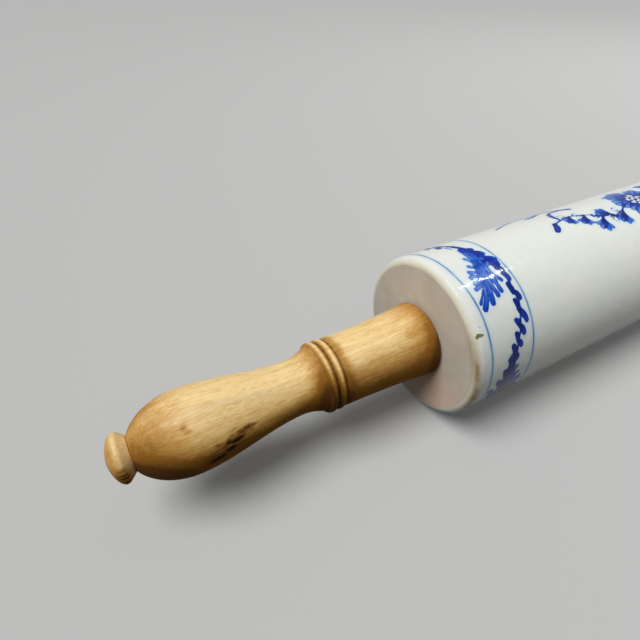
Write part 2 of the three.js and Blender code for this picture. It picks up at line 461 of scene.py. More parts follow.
# Garland of dark dabs: blots beside the fan, then a rope of slanted dabs across the band
GARLAND_BLOTS = (
    ((2.0, 0.8), (2.9, 3.4)), ((2.6, 3.0), (3.4, 5.0)), ((2.5, 5.8), (4.1, 5.5)),
    ((2.6, 7.2), (4.1, 6.9)), ((4.4, 6.8), (6.3, 7.7)), ((4.0, 8.9), (5.1, 11.3)),
    ((5.0, 9.9), (7.5, 11.9)), ((4.9, 12.0), (5.6, 14.0)), ((4.6, 15.2), (6.1, 15.1)),
    ((6.1, 14.2), (9.0, 15.6)), ((6.0, 16.3), (8.3, 17.3)), ((5.5, 16.9), (6.2, 18.8)),
    ((6.5, 18.3), (8.3, 18.6)), ((5.9, 19.5), (6.9, 20.6)), ((7.4, 20.0), (7.8, 21.4)),
)
GARLAND_ROPE = (
    ((6.7, 21.9), (7.9, 24.8)), ((5.7, 26.1), (6.2, 29.0)), ((6.8, 29.2), (7.9, 31.8)),
    ((4.8, 31.9), (5.7, 35.6)), ((5.7, 35.1), (7.4, 39.3)), ((2.9, 38.0), (4.0, 40.3)),
    ((4.0, 40.3), (5.5, 42.9)), ((2.2, 42.1), (2.6, 44.5)), ((2.6, 44.5), (3.8, 46.9)),
    ((0.2, 46.1), (1.0, 48.7)), ((1.4, 49.2), (2.0, 50.8)),
)
# Chain that takes the place of the blots where the garland runs on the other side
GARLAND_CHAIN = (
    ((3.4, 3.2), (1.8, 6.6)), ((5.1, 7.2), (4.0, 10.4)), ((6.9, 11.4), (5.2, 14.4)),
    ((9.4, 15.0), (7.4, 17.6)), ((8.4, 18.4), (6.8, 20.8)),
)
CHAIN_ROPE = GARLAND_CHAIN + GARLAND_ROPE[:-2]
# Brushes: least and most width, least and most depth, the deepest that a layer gets, and the depth
# at both ends of a dab as shares
BLOT_BRUSH = (1.6, 2.0, 0.58, 0.76, 0.85, (1.15, 0.85))
ROPE_BRUSH = (2.2, 2.6, 0.74, 0.86, 0.94, (1.1, 0.95))
DAB_JITTER = 0.12
# Lines, each a path with its width and depth: the lead into the blots, two washes and the stem
GARLAND_LEAD = (((0.9, -3.9), (1.6, -1.0), (2.5, 2.0)), 1.2, 0.85)
GARLAND_WASH = (((3.0, 3.0), (4.2, 6.6), (5.7, 10.0), (6.3, 13.6), (7.2, 17.2), (7.4, 20.6)), 1.6, 0.24)
CHAIN_WASH = (((2.0, 5.4), (2.8, 9.0), (3.5, 13.0), (4.4, 17.0), (4.8, 20.6)), 3.4, 0.75)
ROPE_STEM = (((7.0, 24.0), (6.6, 33.0), (4.6, 39.5), (2.4, 46.0), (1.6, 51.0)), 0.8, 0.4)


def placed_line(canvas, place, line):
    path, width, depth = line
    thin_line(canvas, [place(point) for point in path], width, depth)


def leaf_fan(canvas, place, load, rng):
    """Fan of brush strokes: a wash, a body over it, lobes, and strokes that deepen outward."""
    deepest = min(FAN_DEEPEST * load, FULL_DEPTH)
    for strokes, ends, narrowest in FAN_LAYERS:
        for root, head, width, depth in strokes:
            root = place(np.array(root) + rng.normal(0, FAN_JITTER, 2))
            head = place(np.array(head) + rng.normal(0, FAN_JITTER, 2))
            bow = rng.uniform(-0.05, 0.05)
            depth = load * depth * rng.uniform(0.9, 1.1)
            leaf_stroke(canvas, root, head, bow, width, depth, deepest, ends, narrowest)


def garland(canvas, place, blots, rope, rng):
    """Row of dark dabs: thick blots beside the fan, then a rope that crosses the band."""
    placed_line(canvas, place, ROPE_STEM)
    for dabs, brush in ((blots, BLOT_BRUSH), (rope, ROPE_BRUSH)):
        narrow, wide, pale, deep, deepest, ends = brush
        for start, end in dabs:
            shift = rng.normal(0, DAB_JITTER, 2)
            stretch = rng.normal(0, DAB_JITTER, 2)
            width = rng.uniform(narrow, wide)
            depth = rng.uniform(pale, deep)
            start = place(start + shift - stretch)
            dab(canvas, start, place(end + shift + stretch), width, depth, deepest, ends)


def paint_border(canvas, end_side, rng):
    """Leaf fans, and a garland that weaves between the two ring lines."""
    for i in range(MOTIFS):
        middle, side, back, breadth, load = MOTIF_KINDS[i % len(MOTIF_KINDS)]
        first = math.radians(FIRST_MOTIF_DEGREES - 360 / MOTIFS * i) * BARREL_RADIUS

        def place(point):
            from_end = middle + side * point[0]
            return np.array((end_side * (BARREL_END - from_end), first - point[1]))

        def place_in_fan(point):
            return place((point[0] * breadth, point[1] - back))

        leaf_fan(canvas, place_in_fan, load, rng)
        if side > 0:
            placed_line(canvas, place, GARLAND_LEAD)
            placed_line(canvas, place, GARLAND_WASH)
            garland(canvas, place, GARLAND_BLOTS, GARLAND_ROPE, rng)
        else:
            placed_line(canvas, place, CHAIN_WASH)
            garland(canvas, place, (), CHAIN_ROPE, rng)


def turned_by(angle, length):
    return np.array((math.cos(angle), math.sin(angle))) * length


def blossom(canvas, radius, petals, rng):
    """Open flower: petals of three strokes each, darker strokes between them and a dotted heart."""
    for i in range(petals):
        angle = 2 * math.pi * i / petals + rng.normal(0, 0.04)
        start = turned_by(angle, radius * 0.32)
        for spread, reach in ((-0.24, 0.88), (0.24, 0.88), (0.0, 1.0)):
            end = turned_by(angle + spread, radius * reach * rng.uniform(0.95, 1.03))
            leaf_stroke(canvas, start, end, 0.3 * spread, radius * 0.24, rng.uniform(0.36, 0.46))
        start, end = (turned_by(angle + math.pi / petals, radius * share) for share in (0.35, 0.62))
        leaf_stroke(canvas, start, end, 0, radius * 0.13, 0.8)
    for i in range(petals):
        dot = turned_by(2 * math.pi * i / petals, radius * 0.2)
        dab(canvas, dot, dot + 0.2, radius * 0.12, 0.85)
    dab(canvas, (-0.2, -0.2), (0.2, 0.2), radius * 0.15, 0.85)


def leaf(canvas, root, angle, length, rng):
    """Leaf of four pale strokes with a dark vein over them."""
    for spread in (-0.42, 0.42, -0.16, 0.16):
        end = root + turned_by(angle + spread, length * (1 - abs(spread) * 0.6))
        leaf_stroke(canvas, root, end, -0.35 * spread, length * 0.26, rng.uniform(0.42, 0.56))
    thin_line(canvas, bowed(root, root + turned_by(angle, length * 0.9), 0.05), 0.45, 0.72)


def tendril(canvas, start, angle, hand):
    """Thin line that curls up into a small spiral."""
    turns = np.linspace(0, 1.35, 26)
    radii = TENDRIL_RADIUS * (1 - 0.55 * turns / turns[-1])
    centre = start + turned_by(angle, TENDRIL_RADIUS)
    angles = angle + math.pi + hand * 2 * math.pi * turns
    path = np.stack([centre[0] + radii * np.cos(angles), centre[1] + radii * np.sin(angles)], axis=1)
    thin_line(canvas, path, 0.5, 0.55)


# Spray: (outward from the blossom, around) millimetres, for the half that is drawn twice
SPRAY_STEM = ((8, 0), (14, -3.5), (20, -5), (26, -3), (32, 1.0), (38, 3.0), (44, 2.2), (49, 1.0))
SPRAY_BUD = ((48.8, 1.0), (52.3, -3.1))
SPRAY_HOOK = ((34.5, 10.6), (38.5, 11.3), (41.5, 9.4), (43.2, 6.3), (43.7, 3.2))
SPRAY_FAR_TWIG = ((30, 9.0), (38, 15.5), (46, 17.5), (54, 17.0), (61, 14.5), (68, 11.5))
SPRAY_FAR_LEAVES = (((40, 15.8), (49, 13.2)), ((44, 17.2), (50, 20.5)), ((52, 17.2), (57, 19.6)))
# Leaves: which point of the stem they grow from, to which side, and their length
SPRAY_LEAVES = ((1, -1, 8.5), (2, 1, 8.0), (3, -1, 9.0), (4, -1, 7.5), (5, -1, 6.5))
TENDRIL_RADIUS = 1.8
BLOSSOM_RADIUS = 11.5
PETALS = 8


def paint_spray(canvas, rng):
    """Blossom on the middle of the barrel's top, with a leafy stem and buds to each side."""
    for side in (-1, 1):
        def place(points):
            return np.array(points, float) * (side, -side)

        stem = place(SPRAY_STEM)
        thin_line(canvas, stem, 0.8, 0.6)
        for at, up, length in SPRAY_LEAVES:
            leaf(canvas, stem[at], math.atan2(-side * up, side * 0.9), length, rng)
            tendril(canvas, stem[at] + place((1.5, 0)), math.atan2(side * up, side * 0.6), up)
        hook = place(SPRAY_HOOK)
        canvas.stroke(hook, np.array((0.4, 0.6, 0.8, 0.95, 0.6)), np.full(len(hook), 0.72))
        twig = place(SPRAY_FAR_TWIG)
        canvas.stroke(twig, np.linspace(1.1, 0.4, len(twig)), np.full(len(twig), 0.85))
        for ends in SPRAY_FAR_LEAVES:
            leaf_stroke(canvas, *place(ends), 0.06, 2.6, 0.66)
        dab(canvas, *place(SPRAY_BUD), 2.6, 0.78)
    blossom(canvas, BLOSSOM_RADIUS, PETALS, rng)


# Shader nodes

NOISE_ROUGHNESS = 0.55
UNMOVED = (0.0, 0.0, 0.0)


def material_tree(name):
    material = bpy.data.materials.new(name)
    material.use_nodes = True
    tree = material.node_tree
    return material, tree, tree.nodes["Principled BSDF"]


def feed(tree, socket, value):
    if isinstance(value, bpy.types.NodeSocket):
        tree.links.new(value, socket)
    elif value is not None:
        socket.default_value = value


def maths(tree, operation, first, second=None):
    node = tree.nodes.new("ShaderNodeMath")
    node.operation = operation
    feed(tree, node.inputs[0], first)
    feed(tree, node.inputs[1], second)
    return node.outputs[0]


def total(tree, *values):
    result = values[0]
    for value in values[1:]:
        result = maths(tree, "ADD", result, value)
    return result


def scaled(tree, value, factor):
    return maths(tree, "MULTIPLY", value, factor)


def smooth(tree, value, low, high):
    """0 at low and 1 at high, with a soft step between. low may be the higher one."""
    node = tree.nodes.new("ShaderNodeMapRange")
    node.interpolation_type = "SMOOTHSTEP"
    feed(tree, node.inputs["Value"], value)
    node.inputs["From Min"].default_value = low
    node.inputs["From Max"].default_value = high
    return node.outputs["Result"]


def blend(tree, factor, first, second):
    """Mixes two colours, each a socket or a red, green and blue triple."""
    node = tree.nodes.new("ShaderNodeMix")
    node.data_type = "RGBA"
    feed(tree, node.inputs["Factor"], factor)
    for socket, colour in ((node.inputs[6], first), (node.inputs[7], second)):
        feed(tree, socket, (*colour, 1.0) if isinstance(colour, tuple) else colour)
    return node.outputs[2]


def ramp(tree, factor, stops):
    """Colour ramp from (place, colour) stops."""
    node = tree.nodes.new("ShaderNodeValToRGB")
    feed(tree, node.inputs["Fac"], factor)
    elements = node.color_ramp.elements
    while len(elements) < len(stops):
        elements.new(1.0)
    for element, (place, colour) in zip(elements, stops):
        element.position = place
        element.color = (*colour, 1.0)
    return node.outputs["Color"]


def attribute(tree, name):
    node = tree.nodes.new("ShaderNodeAttribute")
    node.attribute_name = name
    return node.outputs["Fac"]


def texture(tree, kind, scale, shift, values):
    """Texture node that lies in the coordinates of its piece, in metres, scaled and moved."""
    source = tree.nodes.new("ShaderNodeTexCoord")
    mapping = tree.nodes.new("ShaderNodeMapping")
    mapping.inputs["Scale"].default_value = scale
    mapping.inputs["Location"].default_value = shift
    tree.links.new(source.outputs["Object"], mapping.inputs["Vector"])
    node = tree.nodes.new(kind)
    tree.links.new(mapping.outputs["Vector"], node.inputs["Vector"])
    for name, value in values.items():
        node.inputs[name].default_value = value
    return node


def noises_of(tree, table, shift):
    """Noises about 0 to 1 by name, from their cells per metre along and across X and their detail."""
    noises = {}
    for name, (along, across, detail) in table.items():
        values = {"Scale": 1.0, "Detail": detail, "Roughness": NOISE_ROUGHNESS}
        node = texture(tree, "ShaderNodeTexNoise", (along, across, across), shift, values)
        noises[name] = node.outputs["Fac"]
    return noises


def weighed(tree, noises, weights):
    """Noises moved to lie about zero, each times its weight."""
    return [
        scaled(tree, maths(tree, "SUBTRACT", noises[name], 0.5), weight)
        for name, weight in weights.items()
    ]


def uneven_marks(tree, noises, table):
    """Attributes by name, each with its own weights of the noises added."""
    return {
        name: total(tree, attribute(tree, name), *weighed(tree, noises, weights))
        for name, weights in table.items()
    }


def bump(tree, shader, *heights):
    """Relief from heights in tenths of a millimetre."""
    node = tree.nodes.new("ShaderNodeBump")
    node.inputs["Distance"].default_value = MM / 10
    feed(tree, node.inputs["Height"], total(tree, *heights))
    tree.links.new(node.outputs["Normal"], shader.inputs["Normal"])


def coat(tree, shader, colour, rough, glossy):
    for name, value in (("Base Color", colour), ("Roughness", rough), ("Specular IOR Level", glossy)):
        feed(tree, shader.inputs[name], value)


# Materials

GLAZE = (0.79, 0.808, 0.745)
COOL_GLAZE = (0.755, 0.785, 0.735)
BARE_CLAY = (0.645, 0.578, 0.47)
PALE_CLAY = (0.705, 0.645, 0.555)
# Warm pink of painted light that the wooden handles reflect onto the end faces
PAINTED_BOUNCE_PINK = (0.88, 0.60, 0.44)
CREAM_EDGE = (0.84, 0.81, 0.615)
# Brown of the rim stains, also laid on the end faces as painted shadow below the handles
BROWN_STAIN_AND_SHADOW = (0.34, 0.205, 0.09)
OLIVE_SPECK = (0.17, 0.20, 0.07)
BLUE_BLEED = (0.38, 0.64, 0.84)
LINE_BLUE = (0.10, 0.215, 0.45)
COBALT = (
    (0.0, (0.54, 0.65, 0.74)),
    (0.25, (0.22, 0.37, 0.60)),
    (0.45, (0.062, 0.19, 0.58)),
    (0.64, (0.010, 0.088, 0.50)),
    (0.82, (0.001, 0.032, 0.35)),
    (1.0, (0.0, 0.009, 0.13)),
)
# Noises of the porcelain: cells per metre along and across X, and detail
PORCELAIN_NOISES = {
    "cloud": (18, 18, 3.0),
    "ripple": (230, 230, 2.0),
    "grit": (1500, 1500, 2.0),
    "wave": (120, 120, 1.0),
    "brush": (160, 160, 1.0),
    "clay": (90, 90, 3.0),
    "patch": (210, 210, 3.0),
}
# How much the noises change the marks of the barrel, and its relief
PORCELAIN_MARKS = {
    "paint_gap": {"ripple": 0.3, "grit": 0.25},
    "paint_depth": {"ripple": 0.3, "grit": 0.2},
    **dict.fromkeys(LINE_NAMES, {"ripple": 0.3}),
    "bare": {"ripple": 0.5},
    "speck_gap": {"grit": 0.5},
}
PORCELAIN_RELIEF = {"ripple": 0.95, "wave": 2.0}
GLAZE_ROUGHNESS = 0.08
CLOUD_ROUGHNESS = 0.06
CLAY_ROUGHNESS = 0.8
GLAZE_SPECULAR = 0.13


def painted_glaze(tree, noises, marks):
    """White glaze with ring lines and brushwork, whose blue bleeds a little way out."""
    glaze = blend(tree, smooth(tree, noises["cloud"], 0.35, 0.7), GLAZE, COOL_GLAZE)
    from_line = maths(tree, "MINIMUM", *(maths(tree, "ABSOLUTE", marks[name]) for name in LINE_NAMES))
    bleeding = smooth(tree, attribute(tree, "paint_gap"), 1.6, 0.0)
    bleeding = maths(tree, "MAXIMUM", bleeding, smooth(tree, from_line, 2.0, 0.2))
    tinted = blend(tree, scaled(tree, bleeding, 0.4), glaze, BLUE_BLEED)
    line = smooth(tree, from_line, LINE_WIDTH / 2 + 0.2, LINE_WIDTH / 2 - 0.2)
    strength = total(tree, 0.8, *weighed(tree, noises, {"brush": 0.9}))
    lined = blend(tree, scaled(tree, line, strength), tinted, LINE_BLUE)
    paint = ramp(tree, marks["paint_depth"], COBALT)
    return blend(tree, smooth(tree, marks["paint_gap"], 0.14, -0.14), lined, paint)


def porcelain_material():
    """Painted glaze that thins to cream at the rims of the bare, stained end faces, which also carry painted
    shadow and painted warm reflected light below the handles.
    """
    material, tree, shader = material_tree("porcelain")
    noises = noises_of(tree, PORCELAIN_NOISES, UNMOVED)
    marks = uneven_marks(tree, noises, PORCELAIN_MARKS)
    unglazed = smooth(tree, marks["bare"], 2.45, 2.9)
    glazed = maths(tree, "SUBTRACT", 1.0, unglazed)
    edge = scaled(tree, smooth(tree, marks["bare"], -1.2, 1.8), glazed)
    creamy = blend(tree, scaled(tree, edge, 0.85), painted_glaze(tree, noises, marks), CREAM_EDGE)
    clay = blend(tree, smooth(tree, noises["clay"], 0.3, 0.75), BARE_CLAY, PALE_CLAY)
    # Painted warm light reflected from the handles, on the lower front of the bare end faces
    blushed = blend(tree, scaled(tree, attribute(tree, "blush"), 0.75), clay, PAINTED_BOUNCE_PINK)
    surface = blend(tree, unglazed, creamy, blushed)
    patches = total(tree, 0.68, scaled(tree, smooth(tree, noises["patch"], 0.36, 0.66), 0.32))
    # Real stains near the rims, and painted shadow below the handles
    stained = blend(tree, scaled(tree, attribute(tree, "stain"), patches), surface, BROWN_STAIN_AND_SHADOW)
    speckled = blend(tree, smooth(tree, marks["speck_gap"], 0.15, -0.12), stained, OLIVE_SPECK)

    smoothest = total(tree, scaled(tree, noises["cloud"], CLOUD_ROUGHNESS), GLAZE_ROUGHNESS)
    smoothest = scaled(tree, smoothest, glazed)
    rough = total(tree, smoothest, scaled(tree, unglazed, CLAY_ROUGHNESS))
    coat(tree, shader, speckled, rough, GLAZE_SPECULAR)
    gritty = scaled(tree, scaled(tree, noises["grit"], unglazed), 0.5)
    raised = scaled(tree, smooth(tree, attribute(tree, "paint_gap"), 0.35, -0.45), 0.25)
    bump(tree, shader, gritty, raised, *weighed(tree, noises, PORCELAIN_RELIEF))
    return material


WOOD_TONES = (
    (0.08, (0.41, 0.21, 0.058)),
    (0.36, (0.70, 0.45, 0.165)),
    (0.62, (0.89, 0.64, 0.29)),
    (0.92, (0.96, 0.76, 0.41)),
)
HONEY = (0.92, 0.52, 0.07)
WEATHERED = (0.53, 0.40, 0.24)
AMBER = (0.51, 0.25, 0.044)
BROWN = (0.24, 0.094, 0.011)
DARK_BROWN = (0.085, 0.032, 0.008)
# Dark dirt of the grooves, also the painted contact shadow at the back of the buttons
GROOVE_DIRT_AND_SHADOW = (0.05, 0.02, 0.006)
SINGED = (0.19, 0.068, 0.015)
SCORCH = (0.022, 0.008, 0.004)
# Noises of the wood: cells per metre along and across the grain, and detail
WOOD_NOISES = {
    "broad": (10, 70, 2.0),
    "fibre": (24, 1300, 1.5),
    "hair": (70, 3400, 1.5),
    "speckle": (420, 2600, 2.0),
    "streak": (11, 1500, 1.0),
    "patches": (60, 200, 3.0),
    "mottle": (110, 240, 3.0),
    "fine_mottle": (420, 900, 3.0),
}
# How much the noises add to the grain, to the relief and to the marks of age and painted shade, of dirt and
# painted shadow, and of fire
GRAIN = {"fibre": 0.3, "hair": 0.46, "speckle": 0.42}
WOOD_RELIEF = {"fibre": 0.5, "hair": 0.3}
WOOD_MARKS = {
    "patina_and_shade": {"mottle": 0.34, "fine_mottle": 0.3},
    "dirt_and_shadow": {"fine_mottle": 0.4},
    "scorch": {"fine_mottle": 0.6, "fibre": -0.7, "hair": -0.3},
}
# Colours over the clean wood: the mark that each follows, where it begins and is full, its share. The patina
# colours also lay painted shade on the undersides and ends, and the groove dirt a painted contact shadow
# behind the buttons
WOOD_LAYERS = (
    ("patina_and_shade", 0.0, 0.5, 0.85, AMBER),
    ("patina_and_shade", 0.35, 0.95, 0.9, BROWN),
    ("patina_and_shade", 0.95, 1.6, 0.85, DARK_BROWN),
    ("dirt_and_shadow", 0.3, 0.9, 0.85, GROOVE_DIRT_AND_SHADOW),
    ("scorch", 0.15, 0.6, 0.8, SINGED),
    ("scorch", 0.55, 0.85, 0.95, SCORCH),
)
# Growth rings about a line beside the piece, and flecks, in cells per metre
RINGS = {"Scale": 95.0, "Distortion": 5.0, "Detail": 2.0, "Detail Scale": 0.35}
RINGS_STRETCH = (0.06, 1, 1)
RINGS_BESIDE = (0.0, 0.034, -0.021)
FLECK_CELLS = (125, 1600, 1600)
WOOD_ROUGHNESS = 0.40
WOOD_SPECULAR = 0.4


def growth_rings(tree, shift):
    beside = Vector(shift) + Vector(RINGS_BESIDE)
    node = texture(tree, "ShaderNodeTexWave", RINGS_STRETCH, beside, RINGS)
    node.wave_type = "RINGS"
    node.rings_direction = "X"
    node.wave_profile = "SAW"
    return maths(tree, "SUBTRACT", node.outputs["Fac"], 0.5)


def wood_flecks(tree, patches, shift):
    node = texture(tree, "ShaderNodeTexVoronoi", FLECK_CELLS, shift, {"Scale": 1.0})
    fleck = smooth(tree, node.outputs["Distance"], 0.36, 0.14)
    return scaled(tree, fleck, smooth(tree, patches, 0.42, 0.62))


def wood_material(name, shift, figure=1.0):
    """Beech with fine grain along X. shift moves the pattern, so that no two pieces are alike, and
    figure scales how strongly the grain shows."""
    material, tree, shader = material_tree(name)
    noises = noises_of(tree, WOOD_NOISES, shift)
    fleck = wood_flecks(tree, noises["patches"], shift)
    grain = total(
        tree,
        *weighed(tree, noises, GRAIN),
        scaled(tree, growth_rings(tree, shift), 0.12),
        scaled(tree, fleck, -0.16),
        scaled(tree, smooth(tree, noises["streak"], 0.60, 0.70), -0.17),
    )
    tone = total(tree, 0.62, *weighed(tree, noises, {"broad": 0.3}), scaled(tree, grain, figure))
    colour = blend(tree, attribute(tree, "honey"), ramp(tree, tone, WOOD_TONES), HONEY)
    open_grain = smooth(tree, noises["hair"], 0.8, 0.3)
    greyed = scaled(tree, attribute(tree, "weathered"), open_grain)
    colour = blend(tree, greyed, colour, WEATHERED)
    marks = uneven_marks(tree, noises, WOOD_MARKS)
    marks["patina_and_shade"] = total(tree, marks["patina_and_shade"], scaled(tree, grain, -0.34 * figure))
    for mark, low, high, share, layer in WOOD_LAYERS:
        colour = blend(tree, scaled(tree, smooth(tree, marks[mark], low, high), share), colour, layer)

    worst = maths(tree, "MAXIMUM", marks["patina_and_shade"], scaled(tree, marks["scorch"], 1.5))
    dull = smooth(tree, worst, 0.2, 0.9)
    rough = total(tree, WOOD_ROUGHNESS, scaled(tree, noises["fibre"], 0.14), scaled(tree, dull, 0.34))
    glossy = maths(tree, "SUBTRACT", WOOD_SPECULAR, scaled(tree, dull, 0.36))
    coat(tree, shader, colour, rough, glossy)
    bump(tree, shader, scaled(tree, fleck, -0.5), *weighed(tree, noises, WOOD_RELIEF))
    return material


# Pieces

PAINT_SEED = 7
# Speck in the glaze, as runs of (from the left end face, degrees from up towards +Y) and radii
SPECK = (
    ((1.2, -53.4), (1.7, -52.2), (0.45, 0.6)),
    ((2.6, -52.8), (3.3, -53.1), (0.52, 0.42)),
    ((2.9, -48.0), (3.0, -48.1), (0.28, 0.25)),
)
# Soft marks, each a strength, a place and a width in millimetres, and if it doesn't go all round, an
# angle from the front of the barrel or from the worn side of a handle and its spread, in degrees
LOW_FRONT = (-55, 45)
RIM_STAINS = ((0.14, 2.7, 0.4), (0.3, 1.9, 0.9, 92, 10))
# Painted shadow and warm bounce of the handle on the end face round and below its foot
FOOT_SHADOW = ((0.18, FOOT_RADIUS, 9.0, -40, 60),)
# Patina in the hollows, at the foot and round the scorch; at the end of the grip it is partly painted shade
PATINA_AND_SHADE = (
    (0.3, COVE_START + 0.6, 3.4),
    (0.8, COVE_START + 0.6, 3.4, *LOW_FRONT),
    (0.5, FLARE_LENGTH - 0.5, 2.4),
    (0.2, COVE_START + 5.0, 6.0),
    (0.32, 0.0, 3.6),
    (0.4, 0.0, 3.6, *LOW_FRONT),
    (0.24, 0.0, 9.0),
    (0.3, 0.0, 9.0, *LOW_FRONT),
    (0.45, (FIRST_BEAD + COVE_START) / 2, 3.4),
    (-0.6, FIRST_BEAD + BEAD_WIDTH / 2, 0.65),
    (-0.6, SECOND_BEAD + BEAD_WIDTH / 2, 0.65),
    (0.72, HANDLE_LENGTH, 15.0),
    (-0.2, HANDLE_LENGTH, 15.0, 25, 16),
    (0.42, 86.0, 13.0, -70, 24),
    (1.2, HANDLE_LENGTH, 9.0, -80, 40),
)
DIRT = (
    (0.65, FLARE_LENGTH + GROOVE_WIDTH / 2, 0.45),
    (0.9, SECOND_BEAD - GROOVE_WIDTH / 2, 0.5),
    (0.35, COVE_START, 0.5),
    (0.8, 0.0, 0.8),
)
# Marks on the handles: (along, degrees from up towards +Y, length, width, strength or depth)
LEFT_SCORCH = (
    (70.2, -70, 8.0, 2.6, 0.8),
    (73.4, -79.5, 5.4, 2.4, 1.05),
    (76.0, -77, 3.6, 1.8, 0.85),
    (75.7, -88.5, 4.0, 2.2, 1.2),
    (79.8, -95, 8.0, 2.4, 1.15),
    (75.0, -82, 22.0, 10.0, 0.42),
)
LEFT_DENTS = ((86.0, -36, 2.0, 1.2, 0.3), (85.2, -42, 2.4, 1.0, 0.2), (64.0, 20, 3.0, 2.0, 0.1))
RIGHT_SCORCH = ((60.0, 120, 4.0, 1.6, 0.7),)
RIGHT_DENTS = ((80.0, -60, 2.4, 1.4, 0.25), (22.0, 30, 3.0, 1.6, 0.12))
LEFT_WORN_SIDE = -20
RIGHT_WORN_SIDE = 15
# Chips in the rim of a button: (degrees from up towards +Y, spread, depth)
CHIPS = ((-70, 6, 0.14), (-82, 4, 0.3), (-92, 4, 0.34), (-108, 6, 0.22), (140, 7, 0.2))


def hump(value, middle, width):
    """Bell curve about a middle."""
    return np.exp(-(((value - middle) / width) ** 2))


def soft_marks(place, apart, marks):
    return sum(
        strength * hump(place, middle, width) * (hump(apart, *turn) if turn else 1)
        for strength, middle, width, *turn in marks
    )


def make_barrel():
    turned = Turned(barrel_outline(), BARREL_COLUMNS)
    rng = np.random.default_rng(PAINT_SEED)
    around = turned.angle * BARREL_RADIUS
    canvas = Canvas(turned.along, around, BARREL_TURN)
    for end_side in (-1, 1):
        paint_border(canvas, end_side, rng)
    paint_spray(canvas, rng)
    speck = Canvas(turned.along, around, BARREL_TURN)
    for start, end, radii in SPECK:
        run = np.array([start, end]) * (1, math.radians(1) * BARREL_RADIUS) - (BARREL_END, 0)
        speck.stroke(run, radii, (1.0, 1.0))
    gaps = {"paint_gap": canvas.gap, "speck_gap": speck.gap}
    from_end = BARREL_END - np.abs(turned.along)
    for name, place, drift in zip(LINE_NAMES, LINE_PLACES, LINE_DRIFTS):
        wander = drift * np.sin(turned.angle + math.radians(LINE_DRIFT_DEGREES))
        wander += LINE_TREMBLE * np.sin(5 * turned.angle + place)
        gaps[name] = from_end - place - wander
    outside = np.ravel(turned.outline_radius > CAVITY_RADIUS + 1)
    attributes = {name: np.where(outside, gap.ravel(), FAR) for name, gap in gaps.items()}
    bare = BARREL_RADIUS - turned.outline_radius - from_end
    past_front = turned.past(-90)
    stain = hump(bare, 0.045 * past_front, 1.8) * np.exp(-((past_front / 36) ** 4))
    stain += soft_marks(bare, past_front, RIM_STAINS)
    # Painted shadow of the handle on the end face, in the brown of the stains
    stain += soft_marks(turned.outline_radius, past_front, FOOT_SHADOW)
    # Painted warm bounce light from the handle, on the lower front of the end faces
    blush = hump(past_front, -52, 30)
    attributes.update(paint_depth=1 - canvas.clear, bare=bare, stain=stain, blush=blush)

    piece = turned.piece("glazed_barrel", 0.0, 1, np.append(turned.steps, 1.0), attributes)
    piece.data.materials.append(porcelain_material())
    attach(piece, "barrel")
    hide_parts("barrel")


def handle_patina_and_shade(along, apart):
    """Darkening from age and painted shade: the soft marks, a strip in front, the top of the flare, and the
    side away from the one that hands have worn pale, whose underside is darker as patina and as painted
    shade."""
    amount = soft_marks(along, apart, PATINA_AND_SHADE)
    strip_places = (FLARE_LENGTH - 6, COVE_START, WAIST_AT, SWELL_AT - 20, SWELL_AT)
    amount += np.interp(along, strip_places, (0.3, 0.0, 0.06, 0.18, 0.0)) * hump(apart, -28, 16)
    amount += 0.2 * np.clip((apart + 18) / 6, 0, 1) * np.clip((FLARE_LENGTH - along) / 30, 0, 1)
    below = np.interp(along, (FLARE_LENGTH, WAIST_AT, SWELL_AT - 12, SWELL_AT), (20, 30, 32, 46))
    sheltered = np.clip((np.abs(apart) - np.where(apart > 0, 78, below)) / 50, 0, 1)
    # The sheltered side is patina, and on the underside painted shade as well
    return amount + 0.85 * soft_step(sheltered) - 0.04


def handle_weathering(along, apart):
    """Grey, open grain just below a crest that slants along the grip."""
    below = np.interp(along, (WAIST_AT, SWELL_AT), (-8, 8)) - apart
    places = (COVE_START, WAIST_AT + 8, SWELL_AT - 6, SWELL_AT + 4)
    strength = np.interp(along, places, (0.0, 0.55, 0.55, 0.0))
    return strength * np.clip(below / 3, 0, 1) * hump(below, 0, 15)


def spots_on(turned, spots):
    """Soft oval spots, of which the strongest counts."""
    amount = np.zeros_like(turned.along)
    for along, degrees, length, width, strength in spots:
        sideways = np.radians(turned.past(degrees)) * turned.outline_radius
        spot = strength * hump(turned.along, along, length / 2) * hump(sideways, 0, width / 2)
        amount = np.maximum(amount, spot)
    return amount


def make_handle(side, direction, material, worn_side, scorch_spots, dents):
    turned = Turned(handle_outline(), HANDLE_COLUMNS)
    along = turned.along
    apart = turned.past(worn_side)
    scorch = spots_on(turned, scorch_spots)
    dented = spots_on(turned, dents)
    uneven = OUT_OF_ROUND * np.cos(2 * turned.angle + 0.7)
    uneven += WAVER * np.sin(along / 9 + 3 * turned.angle)
    hollows = dented + SCORCH_HOLLOW * np.clip(scorch, 0, 1)
    turned.radius += np.where(turned.outline_radius > BORE_RADIUS + 0.5, uneven - hollows, 0)
    attributes = {
        "patina_and_shade": handle_patina_and_shade(along, apart) + 1.6 * dented,
        "honey": np.interp(along, (FLARE_LENGTH, WAIST_AT), (0.3, 0.65)) * hump(apart, -65, 34),
        "weathered": handle_weathering(along, apart),
        "dirt_and_shadow": soft_marks(along, apart, DIRT),
        "scorch": scorch,
    }

    shares = np.append(turned.steps, 2.0)
    piece = turned.piece(f"turned_{side}_handle", direction * HANDLE_FOOT, direction, shares, attributes)
    piece.data.materials.append(material)
    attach(piece, f"{side}_handle")
    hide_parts(f"{side}_handle")


